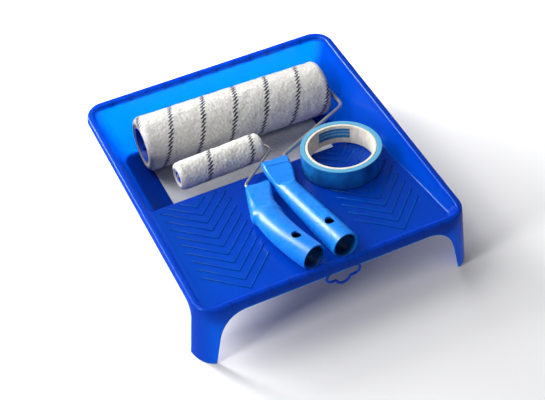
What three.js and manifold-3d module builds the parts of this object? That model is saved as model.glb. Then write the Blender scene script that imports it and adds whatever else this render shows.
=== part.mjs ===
// Paint roller tray set: a moulded tray with a wide roller, a mini roller, a roll of
// masking tape and a folded leaflet lying in it.
// Millimetres, +Z up. The origin is on the floor under the middle of the tray's footprint.
// +X runs along the tray's front edge, and +Y runs from the front edge to the deep paint well.
import * as THREE from "three";
import { mergeVertices } from "three/addons/utils/BufferGeometryUtils.js";
import Module from "manifold-3d";

const wasm = await Module();
wasm.setup();

// ---- Driving dimensions ------------------------------------------------------------------
const CLEAR = 0.3; // gap kept between touching pieces

// Tray
const RIM_X = 160; // half width over the flange
const RIM_Y = 175; // half length over the flange
const RIM_Z = 76; // height of the flange's top
const RIM_RADIUS = 24; // corner radius of the flange
const FLANGE = 7.5; // width of the flange
const WALL = 2.2; // thickness of the moulding
const WALL_DRAFT = 0.33; // how far the side walls lean in for each mm down
const REAR_DRAFT = 0.22; // the same for the rear wall
const FLOOR_Z = 2.2; // top of the well's floor; its underside is on the floor
const RAMP_EDGE_Y = 15; // rear edge of the ramp, above the well
const RAMP_EDGE_Z = 42.4;
const RAMP_SLOPE = 0.1125; // rise of the ramp for each mm towards the front
const DROP_RUN = 13; // length of the steep step down into the well
const LEG_SPREAD = 7; // how far the legs lean out sideways at the floor
const LEG_FORWARD = 8; // and to the front
const LEG_WIDTH = 26;
const SKIRT_Z = 64.5; // lower edge of the front skirt
const LIP_Z = 69; // lower edge of the lip at the sides and the rear
const FOOTPRINT_SHIFT = 4; // puts the origin under the middle of the footprint
const GUSSET_COUNT = 12;
const GUSSET_PITCH = 22.5;
const LOOP = {
  lobes: [[-7, 58, 7.6], [5.2, 51.5, 8.2], [17.4, 58, 7.6]], // each [x, z, radius]
  filler: [5.2, 58.5, 10.5], // opens the lobes into one another
  strand: 3.6,
  thickness: 2.6,
  setBack: 1.6, // how far its back lies behind the rim's front
};

// Raised chevrons on the ramp
const CHEVRON_X = 92; // each column's middle
const CHEVRON_REACH = 40; // half width of a column
const CHEVRON_PITCH = 14.6;
const CHEVRON_COUNT = 11;
const CHEVRON_WIDTH = 2;
const CHEVRON_HEIGHT = 0.8;
const CHEVRON_FIRST_Y = -152;

// Rollers, seen from above. The yaw is in degrees; the slope is the rise of the wire and the
// handle for each mm towards the front. A station is [x, y, half width, half height, squareness].
const LARGE = {
  name: "large",
  centre: new THREE.Vector2(9.7, 121),
  axleZ: 37.2,
  yaw: -1.2,
  slope: 0.1477,
  length: 237.5, // of the pile
  pile: 34, // radius over the pile
  core: 23.5, // radius over the core tube
  coreWall: 1.6,
  round: 8, // rounding of the pile's ends
  wire: 2.4, // radius
  bendAt: 123.2, // distance from the sleeve's middle to the wire's first bend
  bendRadius: 8,
  bends: [[132.5, 70], [27, 17.5], [8.6, -46]],
  socketDepth: 70,
  holeAt: 31, // distance from the grip's open end to the hole through it
  stations: [
    [17.2, -157.5, 15.6, 15.6, 2], [14.6, -130, 15.6, 15, 2], [11.5, -100, 14.8, 13.4, 2],
    [8.2, -66, 13.8, 12, 2], [7, -48, 13, 11, 2.1], [6.2, -38, 12.6, 10, 2.3],
    [6.6, -30, 12.6, 8, 3], [9.5, -16, 14.8, 6, 4], [12.5, -4, 16.6, 5.4, 5],
    [14, 8, 16.8, 5.2, 5], [14.3, 12, 16.5, 4.6, 5],
  ],
};
const MINI = {
  name: "mini",
  centre: new THREE.Vector2(-40.6, 46.6),
  axleZ: 48,
  yaw: 1.85,
  slope: 0.1448,
  length: 107.6,
  pile: 17.5,
  core: 8.8,
  coreWall: 1.1,
  round: 6.5,
  wire: 1.7,
  bendAt: 58,
  bendRadius: 4,
  bends: [[20.8, 36.8], [-33, -9], [-33.4, -62]],
  socketDepth: 55,
  holeAt: 29,
  stations: [
    [-19.8, -156.5, 15.2, 15.2, 2], [-24.3, -140, 15.8, 15, 2], [-28.4, -122, 16.1, 14.4, 2],
    [-31.5, -104, 16.3, 13.6, 2], [-33.4, -85, 16.3, 12.8, 2], [-33.6, -76, 16, 12.4, 2],
    [-33.6, -69, 18.2, 12, 2.1], [-32.6, -59, 16.2, 10.6, 2.2], [-31, -50, 15.4, 9, 2.6],
    [-28.6, -42, 14.8, 7.6, 3], [-25, -32, 14.9, 6.2, 4], [-22.3, -22, 14.9, 5.4, 5],
    [-21.9, -19, 14.6, 4.8, 5],
  ],
};
const CORE_INSET = 1; // how far the core stops short of the pile at each end
const DISH = 0.35; // depth of a plug's dish, as a share of the core's radius
const PLUG_DEPTH = 0.8; // the same for the whole plug
const PLUG_SKIN = 1.6;
const AXLE_PLAY = 0.5; // between the wire and a plug's hub
const HUB_WALL = 2;
const NUT_THICKNESS = 0.9;
const WASHER_THICKNESS = 1;
const MOUTH_WALL = 2.4; // thickness of the grip at its open end
const SOCKET_WALL = 4.6; // and at the socket's bottom
const BOSS_RADIUS = 4;
const BOSS_LENGTH = 8;
const HANG_HOLE = 5; // radius

// Roll of tape and leaflet
const TAPE = { x: 84.6, y: -19.6, outer: 47, core: 41, bore: 38, width: 25 };
const LABEL = { from: 48, to: 106, bottom: 8, height: 13, thickness: 0.4 };
const LEAFLET = { x: -101, y: 34, width: 210, depth: 99, thickness: 0.4 };

const rampZ = (y) => RAMP_EDGE_Z + RAMP_SLOPE * (RAMP_EDGE_Y - y);
const RAMP_TILT = -Math.atan(RAMP_SLOPE);

// ---- Solids ------------------------------------------------------------------------------
// A closed geometry as a solid, with its faces turned to point outwards.
function solid(geometry) {
  const bare = geometry.index ? geometry.toNonIndexed() : geometry.clone();
  bare.deleteAttribute("normal");
  bare.deleteAttribute("uv");
  const merged = mergeVertices(bare, 1e-4);
  const vertProperties = new Float32Array(merged.attributes.position.array);
  const triVerts = withoutSlivers(merged.index.array);
  if (signedVolume(vertProperties, triVerts) < 0) {
    triVerts.reverse();
  }
  return new wasm.Manifold(new wasm.Mesh({ numProp: 3, vertProperties, triVerts }));
}

// Drops the triangles that merging has closed up, such as those at a lathe's axis.
function withoutSlivers(index) {
  const kept = [];
  for (let i = 0; i < index.length; i += 3) {
    const [a, b, c] = [index[i], index[i + 1], index[i + 2]];
    if (a !== b && b !== c && c !== a) {
      kept.push(a, b, c);
    }
  }
  return new Uint32Array(kept);
}

function signedVolume(positions, index) {
  const corner = (i) => new THREE.Vector3().fromArray(positions, 3 * index[i]);
  let volume = 0;
  for (let i = 0; i < index.length; i += 3) {
    volume += corner(i).dot(corner(i + 1).cross(corner(i + 2))) / 6;
  }
  return volume;
}

function geometryOf(manifold) {
  const mesh = manifold.getMesh();
  const geometry = new THREE.BufferGeometry();
  const positions = new Float32Array(mesh.numVert * 3);
  for (let i = 0; i < mesh.numVert; i += 1) {
    for (let k = 0; k < 3; k += 1) {
      positions[3 * i + k] = mesh.vertProperties[mesh.numProp * i + k];
    }
  }
  geometry.setAttribute("position", new THREE.BufferAttribute(positions, 3));
  geometry.setIndex(new THREE.BufferAttribute(new Uint32Array(mesh.triVerts), 1));
  geometry.computeVertexNormals();
  return geometry;
}

// A closed body through rings of equal point count, each ring anticlockwise seen from the last.
function loft(rings) {
  const count = rings[0].length;
  const points = rings.flat();
  const triangles = [];
  for (let r = 0; r < rings.length - 1; r += 1) {
    for (let i = 0; i < count; i += 1) {
      const a = r * count + i;
      const b = r * count + ((i + 1) % count);
      triangles.push(a, b, b + count, a, b + count, a + count);
    }
  }
  const ends = [[rings[0], 0, true], [rings.at(-1), points.length - count, false]];
  for (const [ring, first, flip] of ends) {
    const middle = points.length;
    const centre = new THREE.Vector3();
    ring.forEach((p) => centre.add(p));
    points.push(centre.divideScalar(count));
    for (let i = 0; i < count; i += 1) {
      const a = first + i;
      const b = first + ((i + 1) % count);
      triangles.push(middle, flip ? b : a, flip ? a : b);
    }
  }
  const coordinates = points.flatMap((p) => p.toArray());
  const geometry = new THREE.BufferGeometry();
  geometry.setAttribute("position", new THREE.Float32BufferAttribute(coordinates, 3));
  geometry.setIndex(triangles);
  return geometry;
}

// A rounded rectangle at height z, anticlockwise seen from above.
function rectangleRing(halfX, frontY, rearY, radius, z, steps = 6) {
  const corners = [
    [halfX - radius, rearY - radius, 0],
    [-halfX + radius, rearY - radius, 1],
    [-halfX + radius, frontY + radius, 2],
    [halfX - radius, frontY + radius, 3],
  ];
  const ring = [];
  for (const [x, y, quarter] of corners) {
    for (let i = 0; i <= steps; i += 1) {
      const angle = (quarter + i / steps) * Math.PI / 2;
      ring.push(new THREE.Vector3(x + radius * Math.cos(angle), y + radius * Math.sin(angle), z));
    }
  }
  return ring;
}

// An outline in the Y-Z plane, drawn out along X from -reach to +reach.
function alongX(shape, reach) {
  const options = { depth: 2 * reach, bevelEnabled: false, curveSegments: 6 };
  const geometry = new THREE.ExtrudeGeometry(shape, options);
  geometry.translate(0, 0, -reach);
  geometry.rotateY(Math.PI / 2);
  geometry.rotateX(Math.PI / 2);
  return geometry;
}

// An outline in the X-Z plane, drawn out along Y from y0 to y1.
function alongY(shape, y0, y1, curveSegments = 6) {
  const options = { depth: y1 - y0, bevelEnabled: false, curveSegments };
  const geometry = new THREE.ExtrudeGeometry(shape, options);
  geometry.rotateX(Math.PI / 2);
  geometry.translate(0, y1, 0);
  return geometry;
}

// A solid turned about Z, from a closed profile of [radius, height] points.
function turned(profile, segments = 32) {
  const points = profile.map(([radius, height]) => new THREE.Vector2(radius, height));
  return solid(new THREE.LatheGeometry([...points, points[0]], segments).rotateX(Math.PI / 2));
}

function tube(outer, inner, from, to, segments = 40) {
  return turned([[inner, from], [outer, from], [outer, to], [inner, to]], segments);
}

function cylinder(radius, from, to) {
  const geometry = new THREE.CylinderGeometry(radius, radius, to - from, 12);
  return solid(geometry.rotateX(Math.PI / 2).translate(0, 0, (from + to) / 2));
}

// Turns a solid made about Z so that +Z points along the direction, and moves it to the place.
function pointed(manifold, direction, place) {
  const up = new THREE.Vector3(0, 0, 1);
  const turn = new THREE.Quaternion().setFromUnitVectors(up, direction.clone().normalize());
  const matrix = new THREE.Matrix4().compose(place, turn, new THREE.Vector3(1, 1, 1));
  return manifold.transform(matrix.toArray());
}

// A block with its middle at [x, y, z].
function block(size, middle) {
  return solid(new THREE.BoxGeometry(...size).translate(...middle));
}

function union(solids) {
  return solids.reduce((a, b) => a.add(b));
}

// ---- Tray --------------------------------------------------------------------------------
// The space above the tray's inner surface, seen from the side; drop moves it down and forward.
function surfaceProfile(drop) {
  const shape = new THREE.Shape();
  const edgeY = RAMP_EDGE_Y - drop;
  const edgeZ = RAMP_EDGE_Z - drop;
  const footY = edgeY + DROP_RUN;
  shape.moveTo(-2 * RIM_Y, edgeZ + RAMP_SLOPE * (edgeY + 2 * RIM_Y));
  shape.lineTo(edgeY - 4, edgeZ + RAMP_SLOPE * 4);
  shape.quadraticCurveTo(edgeY, edgeZ, edgeY + 1, edgeZ - 4);
  shape.lineTo(footY - 1.5, FLOOR_Z - drop + 7);
  shape.quadraticCurveTo(footY, FLOOR_Z - drop, footY + 6, FLOOR_Z - drop);
  shape.lineTo(2 * RIM_Y, FLOOR_Z - drop);
  shape.lineTo(2 * RIM_Y, RIM_Z + 20);
  shape.lineTo(-2 * RIM_Y, RIM_Z + 20);
  shape.closePath();
  return shape;
}

// The sloping walls as a solid frustum, grown outwards by the wall's thickness where asked.
function basin(grow, top) {
  const ringAt = (z) => {
    const down = RIM_Z - z;
    const halfX = RIM_X - FLANGE - WALL_DRAFT * down + grow;
    const front = -RIM_Y + FLANGE + WALL_DRAFT * down - grow;
    const rear = RIM_Y - FLANGE - REAR_DRAFT * down + grow;
    return rectangleRing(halfX, front, rear, 14 + grow, z);
  };
  return solid(loft([ringAt(-10), ringAt(top)]));
}

function trayShell() {
  const outer = basin(WALL, RIM_Z).intersect(solid(alongX(surfaceProfile(WALL), 2 * RIM_X)));
  const inner = basin(0, RIM_Z + 5).intersect(solid(alongX(surfaceProfile(0), 2 * RIM_X)));
  const flangeRing = (z) => rectangleRing(RIM_X, -RIM_Y, RIM_Y, RIM_RADIUS, z);
  const flange = solid(loft([flangeRing(RIM_Z - WALL), flangeRing(RIM_Z)]));
  return outer.add(flange).subtract(inner);
}

// The rim's hanging edge, which runs down into the two front legs.
function skirtAndLegs() {
  const ring = (inset, z) => {
    const down = 1 - z / RIM_Z;
    const halfX = RIM_X + LEG_SPREAD * down - inset;
    const front = -RIM_Y - LEG_FORWARD * down + inset;
    return rectangleRing(halfX, front, RIM_Y - inset, RIM_RADIUS - inset, z);
  };
  const band = solid(loft([ring(0, 0), ring(0, RIM_Z - 0.5)]))
    .subtract(solid(loft([ring(WALL, -1), ring(WALL, RIM_Z + 1)])));
  return band.subtract(solid(alongY(frontOpening(), -2 * RIM_Y, 2 * RIM_Y)))
    .subtract(solid(alongX(sideOpening(), 2 * RIM_X)));
}

function frontOpening() {
  const legX = RIM_X + LEG_SPREAD - LEG_WIDTH;
  const shape = new THREE.Shape();
  shape.moveTo(-legX, -1);
  shape.lineTo(-legX + 4, 34);
  shape.quadraticCurveTo(-legX + 9, SKIRT_Z, -legX + 36, SKIRT_Z);
  shape.lineTo(legX - 36, SKIRT_Z);
  shape.quadraticCurveTo(legX - 9, SKIRT_Z, legX - 4, 34);
  shape.lineTo(legX, -1);
  shape.closePath();
  return shape;
}

function sideOpening() {
  const legY = -RIM_Y - LEG_FORWARD + LEG_WIDTH + 2;
  const shape = new THREE.Shape();
  shape.moveTo(legY, -1);
  shape.lineTo(legY, 50);
  shape.quadraticCurveTo(legY + 1, LIP_Z, legY + 18, LIP_Z);
  shape.lineTo(2 * RIM_Y, LIP_Z);
  shape.lineTo(2 * RIM_Y, -1);
  shape.closePath();
  return shape;
}

// A cloud-shaped loop that hangs from the front skirt, to hang the tray up by.
function hangingLoop() {
  const { lobes, filler, strand, thickness } = LOOP;
  const y1 = -RIM_Y + LOOP.setBack;
  const disc = ([x, z, radius], grow, margin) => {
    const shape = new THREE.Shape().absarc(x, z, radius + grow, 0, 2 * Math.PI);
    return solid(alongY(shape, y1 - thickness - margin, y1 + margin, 14));
  };
  const outer = union(lobes.map((lobe) => disc(lobe, strand / 2, 0)));
  const inner = union([...lobes, filler].map((lobe) => disc(lobe, -strand / 2, thickness)));
  const above = block([80, 40, 30], [0, y1, RIM_Z - 1.5 + 15]);
  return outer.subtract(inner).subtract(above);
}

// One V of the ramp's grip pattern, with its point towards the front.
function chevron(x, apex) {
  const half = CHEVRON_WIDTH / 2;
  const root = 1; // depth sunk into the ramp
  const reach = Math.min(CHEVRON_REACH, RAMP_EDGE_Y - 6 - apex);
  const shape = new THREE.Shape();
  shape.moveTo(x, apex - half);
  shape.lineTo(x + reach, apex + reach - half);
  shape.lineTo(x + reach, apex + reach + 2 * half);
  shape.lineTo(x, apex + 2 * half);
  shape.lineTo(x - reach, apex + reach + 2 * half);
  shape.lineTo(x - reach, apex + reach - half);
  shape.closePath();
  const options = { depth: root + CHEVRON_HEIGHT, bevelEnabled: false };
  const ridge = new THREE.ExtrudeGeometry(shape, options);
  ridge.translate(0, -RAMP_EDGE_Y, -root);
  ridge.rotateX(RAMP_TILT);
  ridge.translate(0, RAMP_EDGE_Y, RAMP_EDGE_Z);
  return solid(ridge);
}

function chevrons() {
  const ridges = [];
  for (const x of [-CHEVRON_X, CHEVRON_X]) {
    for (let i = 0; i < CHEVRON_COUNT; i += 1) {
      ridges.push(chevron(x, CHEVRON_FIRST_Y + i * CHEVRON_PITCH));
    }
  }
  return union(ridges);
}

// Small webs under the flange, between the walls and the hanging edge.
function gussets() {
  const webs = [];
  const depth = FLANGE - 2;
  const height = 5;
  for (const side of [-1, 1]) {
    for (let i = 0; i < GUSSET_COUNT; i += 1) {
      const x = (i - (GUSSET_COUNT - 1) / 2) * GUSSET_PITCH;
      const middle = [x, side * (RIM_Y - 1 - depth / 2), RIM_Z - 1.5 - height / 2];
      webs.push(block([1.6, depth, height], middle));
    }
  }
  return union(webs);
}

function tray() {
  return trayShell().add(skirtAndLegs()).add(hangingLoop()).add(gussets()).add(chevrons());
}

function leaflet() {
  const { x, y, width, depth, thickness } = LEAFLET;
  const middle = [x + width / 2, y + depth / 2, FLOOR_Z + CLEAR + thickness / 2];
  return block([width, depth, thickness], middle);
}

// ---- Rollers -----------------------------------------------------------------------------
// A point on the roller's axle, `along` mm to the right of the sleeve's middle.
function axlePoint(roller, along) {
  const yaw = THREE.MathUtils.degToRad(roller.yaw);
  const { centre, axleZ } = roller;
  return new THREE.Vector3(centre.x + along * Math.cos(yaw), centre.y + along * Math.sin(yaw), axleZ);
}

// Height of the plane that holds a roller's wire and handle, which rises towards the front.
function frameZ(roller, y) {
  return roller.axleZ + roller.slope * (roller.centre.y - y);
}

// Lays a piece that was turned about Z along the axle, its origin `along` mm from the middle.
function layOnAxle(manifold, roller, along = 0) {
  const place = axlePoint(roller, along);
  return manifold.rotate([0, 90, 0]).rotate([0, 0, roller.yaw]).translate(place.toArray());
}

function roundEnd(roller, end, steps = 3) {
  const points = [];
  for (let i = 0; i <= steps; i += 1) {
    const angle = (i / steps) * Math.PI / 2;
    const radius = roller.pile - roller.round * (1 - Math.cos(angle));
    points.push([radius, end - Math.sign(end) * roller.round * (1 - Math.sin(angle))]);
  }
  return points;
}

function pile(roller) {
  const end = roller.length / 2;
  const inner = roller.core + CLEAR;
  const outside = [...roundEnd(roller, -end).reverse(), ...roundEnd(roller, end)];
  const profile = [[inner, -end], ...outside, [inner, end]];
  return layOnAxle(turned(profile, 36), roller);
}

function coreEnd(roller) {
  return roller.length / 2 - CORE_INSET;
}

function core(roller) {
  const end = coreEnd(roller);
  return layOnAxle(tube(roller.core, roller.core - roller.coreWall, -end, end), roller);
}

// A dished plug in each end of the core: a sleeve, a web, and a hub that turns on the wire.
function plug(roller, side) {
  const mouth = roller.core - roller.coreWall - CLEAR;
  const bore = roller.wire + AXLE_PLAY;
  const hub = bore + HUB_WALL;
  const dish = roller.core * DISH;
  const depth = roller.core * PLUG_DEPTH;
  const profile = [
    [bore, dish - HUB_WALL], [hub, dish - HUB_WALL], [hub, dish], [mouth - PLUG_SKIN, dish],
    [mouth - PLUG_SKIN, 0], [mouth, 0], [mouth, depth], [mouth - PLUG_SKIN, depth],
    [mouth - PLUG_SKIN, dish + PLUG_SKIN], [hub, dish + PLUG_SKIN], [hub, depth], [bore, depth],
  ];
  const inward = profile.map(([radius, height]) => [radius, -side * height]);
  return layOnAxle(turned(inward, 20), roller, side * coreEnd(roller));
}

// Distance from the sleeve's middle to the outer face of a plug's hub.
function hubFace(roller) {
  return coreEnd(roller) - roller.core * DISH + HUB_WALL;
}

// The push-on nut that keeps the sleeve on the wire's left end.
function pushNut(roller) {
  const from = -hubFace(roller) - CLEAR - NUT_THICKNESS;
  const ring = tube(roller.wire + 1.8, roller.wire + CLEAR, from, from + NUT_THICKNESS, 20);
  return layOnAxle(ring, roller);
}

// The washer between the right plug's hub and the wire's bend.
function stopWasher(roller) {
  const from = hubFace(roller) + CLEAR;
  const ring = tube(roller.wire + 2, roller.wire + CLEAR, from, from + WASHER_THICKNESS, 20);
  return layOnAxle(ring, roller);
}

// Straight stretches joined by bends of the given radius.
function bentPath(points, radius) {
  const path = new THREE.CurvePath();
  let start = points[0];
  for (let i = 1; i < points.length - 1; i += 1) {
    const corner = points[i];
    const before = points[i - 1].clone().sub(corner);
    const after = points[i + 1].clone().sub(corner);
    const cut = Math.min(radius, before.length() * 0.45, after.length() * 0.45);
    const from = corner.clone().add(before.setLength(cut));
    const to = corner.clone().add(after.setLength(cut));
    path.add(new THREE.LineCurve3(start, from));
    path.add(new THREE.QuadraticBezierCurve3(from, corner, to));
    start = to;
  }
  path.add(new THREE.LineCurve3(start, points.at(-1)));
  return path;
}

function wirePoints(roller) {
  const end = -hubFace(roller) - CLEAR - NUT_THICKNESS - 1;
  const bends = roller.bends.map(([x, y]) => new THREE.Vector3(x, y, frameZ(roller, y)));
  return [axlePoint(roller, end), axlePoint(roller, roller.bendAt), ...bends];
}

function wire(roller, grow = 0) {
  const circle = new THREE.Shape().absarc(0, 0, roller.wire + grow, 0, 2 * Math.PI);
  const extrudePath = bentPath(wirePoints(roller), roller.bendRadius);
  return solid(new THREE.ExtrudeGeometry(circle, { extrudePath, steps: 56, curveSegments: 4 }));
}

// A point on the outline of a superellipse: 2 is an ellipse, and more is squarer.
function superellipse(angle, halfWidth, halfHeight, squareness) {
  const part = (value) => Math.sign(value) * Math.abs(value) ** (2 / squareness);
  return [halfWidth * part(Math.cos(angle)), halfHeight * part(Math.sin(angle))];
}

// The outline of a grip at one of its stations, square to the line through its neighbours.
function gripRing(roller, index, count = 20) {
  const stations = roller.stations;
  const [x, y, halfWidth, halfHeight, squareness] = stations[index];
  const before = stations[Math.max(0, index - 1)];
  const after = stations[Math.min(stations.length - 1, index + 1)];
  const heading = Math.atan2(after[0] - before[0], after[1] - before[1]);
  const tilt = Math.atan(roller.slope);
  const ring = [];
  for (let i = 0; i < count; i += 1) {
    const angle = (2 * Math.PI * i) / count;
    const [across, up] = superellipse(angle, halfWidth, halfHeight, squareness);
    ring.push(new THREE.Vector3(
      x + across * Math.cos(heading),
      y - across * Math.sin(heading) + up * Math.sin(tilt),
      frameZ(roller, y) + up * Math.cos(tilt),
    ));
  }
  return ring.reverse();
}

function gripBody(roller) {
  return solid(loft(roller.stations.map((station, index) => gripRing(roller, index))));
}

// The socket in the grip's open end, round the boss that stands at its bottom.
function socket(roller) {
  const depth = roller.socketDepth;
  const radius = roller.stations[0][2];
  const mouth = radius - MOUTH_WALL;
  const bottom = radius - SOCKET_WALL;
  const boss = depth - BOSS_LENGTH;
  const beyond = -4;
  return turned([
    [0, beyond], [mouth, beyond], [mouth, 0], [bottom, depth], [BOSS_RADIUS, depth],
    [BOSS_RADIUS - 0.6, boss], [0, boss],
  ], 20);
}

// The grip, with its socket, a hole through both walls to hang it up by, and the wire
// moulded into its flat rear end.
function handle(roller) {
  const at = ([x, y]) => new THREE.Vector3(x, y, frameZ(roller, y));
  const front = at(roller.stations[0]);
  const inward = at(roller.stations[3]).sub(front).normalize();
  const upward = new THREE.Vector3(0, inward.z, -inward.y);
  const holeCentre = front.clone().addScaledVector(inward, roller.holeAt);
  return gripBody(roller)
    .subtract(pointed(socket(roller), inward, front))
    .subtract(pointed(cylinder(HANG_HOLE, -30, 30), upward, holeCentre))
    .subtract(wire(roller, CLEAR));
}

// ---- Tape --------------------------------------------------------------------------------
// Sets a piece of the tape roll down on the ramp's ridges, tilted as the ramp is.
function onRamp(manifold) {
  const z = rampZ(TAPE.y) + CHEVRON_HEIGHT + CLEAR;
  return manifold.rotate([THREE.MathUtils.radToDeg(RAMP_TILT), 0, 0]).translate([TAPE.x, TAPE.y, z]);
}

// A paper label stuck inside the core, as an arc drawn out upwards.
function coreLabel() {
  const from = THREE.MathUtils.degToRad(LABEL.from);
  const to = THREE.MathUtils.degToRad(LABEL.to);
  const outer = TAPE.bore - CLEAR;
  const shape = new THREE.Shape();
  shape.absarc(0, 0, outer, from, to, false);
  shape.absarc(0, 0, outer - LABEL.thickness, to, from, true);
  shape.closePath();
  const options = { depth: LABEL.height, bevelEnabled: false, curveSegments: 16 };
  const label = new THREE.ExtrudeGeometry(shape, options);
  return onRamp(solid(label.translate(0, 0, LABEL.bottom)));
}

// ---- Assembly ----------------------------------------------------------------------------
const MATERIALS = {
  trayPlastic: { color: 0x1144cc, roughness: 0.25 },
  paper: { color: 0xc8c8cc, roughness: 0.8 },
  pileFabric: { color: 0xe8e6e0, roughness: 1 },
  coreTube: { color: 0xd8d4c8, roughness: 0.7 },
  plugPlastic: { color: 0x1450c8, roughness: 0.4 },
  wireSteel: { color: 0xb8bcc0, roughness: 0.25, metalness: 1 },
  gripPlastic: { color: 0x2a8cf0, roughness: 0.3 },
  tapePaper: { color: 0x3a86c8, roughness: 0.6 },
  cardboard: { color: 0xe6dfcc, roughness: 0.9 },
  labelPaper: { color: 0x1c5c9c, roughness: 0.6 },
};

function piece(name, manifold, material) {
  const look = new THREE.MeshStandardMaterial(MATERIALS[material]);
  const mesh = new THREE.Mesh(geometryOf(manifold), look);
  mesh.name = name;
  return mesh;
}

function rollerPieces(roller) {
  const { name } = roller;
  return [
    piece(`${name}_roller_pile`, pile(roller), "pileFabric"),
    piece(`${name}_roller_core`, core(roller), "coreTube"),
    piece(`${name}_roller_left_plug`, plug(roller, -1), "plugPlastic"),
    piece(`${name}_roller_right_plug`, plug(roller, 1), "plugPlastic"),
    piece(`${name}_roller_push_nut`, pushNut(roller), "wireSteel"),
    piece(`${name}_roller_stop_washer`, stopWasher(roller), "plugPlastic"),
    piece(`${name}_roller_wire`, wire(roller), "wireSteel"),
    piece(`${name}_roller_handle`, handle(roller), "gripPlastic"),
  ];
}

function tapePieces() {
  const { outer, core: coreOuter, bore, width } = TAPE;
  return [
    piece("tape_core", onRamp(tube(coreOuter, bore, 0, width)), "cardboard"),
    piece("tape_winding", onRamp(tube(outer, coreOuter + CLEAR, 0, width)), "tapePaper"),
    piece("tape_core_label", coreLabel(), "labelPaper"),
  ];
}

const set = new THREE.Group();
set.position.y = FOOTPRINT_SHIFT;
set.add(piece("tray", tray(), "trayPlastic"));
set.add(piece("leaflet", leaflet(), "paper"));
set.add(...rollerPieces(LARGE), ...rollerPieces(MINI), ...tapePieces());

export default set;
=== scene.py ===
"""Looks for the paint roller tray set: moulded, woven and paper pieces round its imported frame."""
import math

import bpy
import numpy as np
from mathutils import Matrix, Vector, noise


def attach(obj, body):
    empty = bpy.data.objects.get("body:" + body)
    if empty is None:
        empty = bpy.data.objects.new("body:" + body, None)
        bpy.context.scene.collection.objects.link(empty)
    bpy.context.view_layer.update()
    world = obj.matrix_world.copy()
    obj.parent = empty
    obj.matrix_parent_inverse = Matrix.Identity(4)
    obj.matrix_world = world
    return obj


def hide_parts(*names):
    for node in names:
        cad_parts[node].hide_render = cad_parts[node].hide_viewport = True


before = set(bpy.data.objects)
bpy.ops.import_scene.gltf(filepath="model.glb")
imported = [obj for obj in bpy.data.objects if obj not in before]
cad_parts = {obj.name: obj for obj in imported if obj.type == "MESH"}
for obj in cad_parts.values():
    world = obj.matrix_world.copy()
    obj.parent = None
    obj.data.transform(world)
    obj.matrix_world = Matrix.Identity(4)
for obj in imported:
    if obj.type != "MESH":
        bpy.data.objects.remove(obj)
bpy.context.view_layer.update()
scene = bpy.context.scene

# ---- Driving dimensions, in millimetres in the row frame ----
MM = 0.001
SHIFT_Y = 4.0  # the tray's middle lies this far behind the row frame's origin
RIM_X = 160.0
RIM_Y = 175.0
RIM_Z = 76.0
RIM_RADIUS = 24.0
WALL_RADIUS = 14.0
FLANGE = 7.5
WALL = 2.2
SIDE_DRAFT = 0.33
REAR_DRAFT = 0.22
FLOOR_Z = 2.2
EDGE_Y = 15.0
EDGE_Z = 42.4
SLOPE = 0.1125
DROP_RUN = 13.0
LEG_SPREAD = 7.0
LEG_FORWARD = 8.0
LIP_Z = 69.0
SKIRT_Z = 64.5
RAMP_TILT = -math.atan(SLOPE)

FRONT_DEPTH = 12.0  # the front arch reaches this far back from the rim's front
LEG_EDGE_X = 141.0  # inner edge of a leg at its foot, seen from the front
LEG_FOOT_TOP = 34.0  # height at which a leg's inner edge starts to curve to the skirt
LEG_INNER = (137.0, 132.0, 105.0)  # the front arch's x: at the leg, at its corner, at the skirt
LEG_REAR = (-154.0, -153.5, -137.0)  # the side arch's y, in the same order
LEG_REAR_TOP = 50.0
HANGING_ROWS = 9

RIM_EDGE = 2.6  # radius of the flange's outer edge
RIM_INNER_EDGE = 2.4
RIM_FLAT = 4.4
RIM_TURN = 5.7  # where the flange turns down into the walls
RIM_TURN_ANGLE = 72.0
RIM_STEPS = 5
WALL_STEP = 2.4  # height between the rings down the walls
WALL_FOOT = -16.0
FILLET = 7.0  # reach of the rounding between walls and floor
COARSE, FINE = 3.0, 0.75  # spacing of the tray's grid lines
FINE_FROM, FINE_TO = 6, 40  # the fine lines lie across the drop

CHEVRON_X = 92.0
CHEVRON_REACH = 40.0
CHEVRON_PITCH = 14.6
CHEVRON_COUNT = 11
CHEVRON_FIRST_Y = -152.0
CHEVRON_END = 2.0  # length over which a ridge's end slopes down
CHEVRON_MITRE = 1.41
CHEVRON_SECTION = [
    (-1.5, -0.5), (-1.1, 0.35), (-0.6, 0.75), (0.0, 0.88), (0.6, 0.75), (1.1, 0.35), (1.5, -0.5),
]

WEB_PITCH = 22.5
WEB_COUNT = 12
WEB_HALF = 0.8
# The hanging loop's lobes: [x, z, radius, first degree, last degree].
LOOP_LOBES = [
    (-7.0, 58.0, 7.6, 112, 292), (5.2, 51.5, 8.2, 196, 344), (17.4, 58.0, 7.6, 248, 428),
]
LOOP_STRAND = (1.8, 1.3)  # half width and half depth of its strand

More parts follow.
